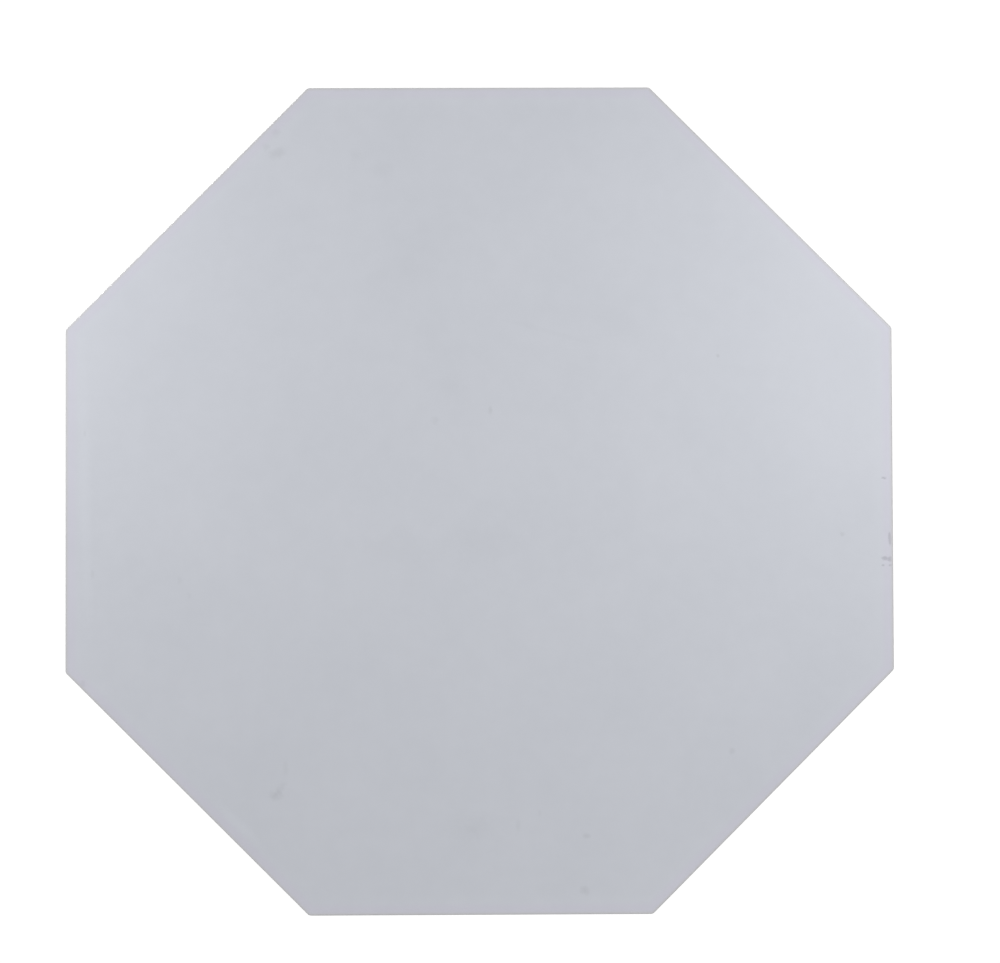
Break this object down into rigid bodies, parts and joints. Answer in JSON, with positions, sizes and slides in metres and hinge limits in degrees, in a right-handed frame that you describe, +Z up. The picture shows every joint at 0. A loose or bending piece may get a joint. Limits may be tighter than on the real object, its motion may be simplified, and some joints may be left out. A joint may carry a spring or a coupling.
{
  "type": "crokinole board",
  "caption": "Octagonal crokinole board: mitred rails on a flat back panel, a raised round playing surface with a centre hole, rubber-sleeved posts, and a ditch all round.",
  "frame": {"origin": "centre of the underside, on the surface that the board lies on", "axes": "+Z up out of the playing side; the octagon's flat sides are square to X and Y, and the front player sits on the -Y side"},
  "size_m": [0.762, 0.762, 0.0381],
  "materials": {
    "panel": "pale grey-white satin lacquer",
    "field": "polished clear lacquer with inked lines",
    "rail": "satin oiled hardwood",
    "spline": "bare hardwood",
    "post": "zinc-plated steel",
    "bumper": "matt rubber"
  },
  "bodies": {
    "board": {"base_panel": "panel", "playing_surface": "field", "corner_splines": "spline", "rail_right": "rail", "rail_back_right": "rail", "rail_back": "rail", "rail_back_left": "rail", "rail_left": "rail", "rail_front_left": "rail", "rail_front": "rail", "rail_front_right": "rail", "post_1": "post", "post_2": "post", "post_3": "post", "post_4": "post", "post_5": "post", "post_6": "post", "post_7": "post", "post_8": "post"},
    "sleeve_1": {"bumper_1": "bumper"},
    "sleeve_2": {"bumper_2": "bumper"},
    "sleeve_3": {"bumper_3": "bumper"},
    "sleeve_4": {"bumper_4": "bumper"},
    "sleeve_5": {"bumper_5": "bumper"},
    "sleeve_6": {"bumper_6": "bumper"},
    "sleeve_7": {"bumper_7": "bumper"},
    "sleeve_8": {"bumper_8": "bumper"}
  },
  "joints": [
    {"name": "bumper_1_turn", "type": "hinge", "parent": "board", "child": "sleeve_1", "pos_m": [0.09387, 0.03888, 0.0263], "axis": [0, 0, 1], "continuous": true},
    {"name": "bumper_2_turn", "type": "hinge", "parent": "board", "child": "sleeve_2", "pos_m": [0.03888, 0.09387, 0.0263], "axis": [0, 0, 1], "continuous": true},
    {"name": "bumper_3_turn", "type": "hinge", "parent": "board", "child": "sleeve_3", "pos_m": [-0.03888, 0.09387, 0.0263], "axis": [0, 0, 1], "continuous": true},
    {"name": "bumper_4_turn", "type": "hinge", "parent": "board", "child": "sleeve_4", "pos_m": [-0.09387, 0.03888, 0.0263], "axis": [0, 0, 1], "continuous": true},
    {"name": "bumper_5_turn", "type": "hinge", "parent": "board", "child": "sleeve_5", "pos_m": [-0.09387, -0.03888, 0.0263], "axis": [0, 0, 1], "continuous": true},
    {"name": "bumper_6_turn", "type": "hinge", "parent": "board", "child": "sleeve_6", "pos_m": [-0.03888, -0.09387, 0.0263], "axis": [0, 0, 1], "continuous": true},
    {"name": "bumper_7_turn", "type": "hinge", "parent": "board", "child": "sleeve_7", "pos_m": [0.03888, -0.09387, 0.0263], "axis": [0, 0, 1], "continuous": true},
    {"name": "bumper_8_turn", "type": "hinge", "parent": "board", "child": "sleeve_8", "pos_m": [0.09387, -0.03888, 0.0263], "axis": [0, 0, 1], "continuous": true}
  ]
}
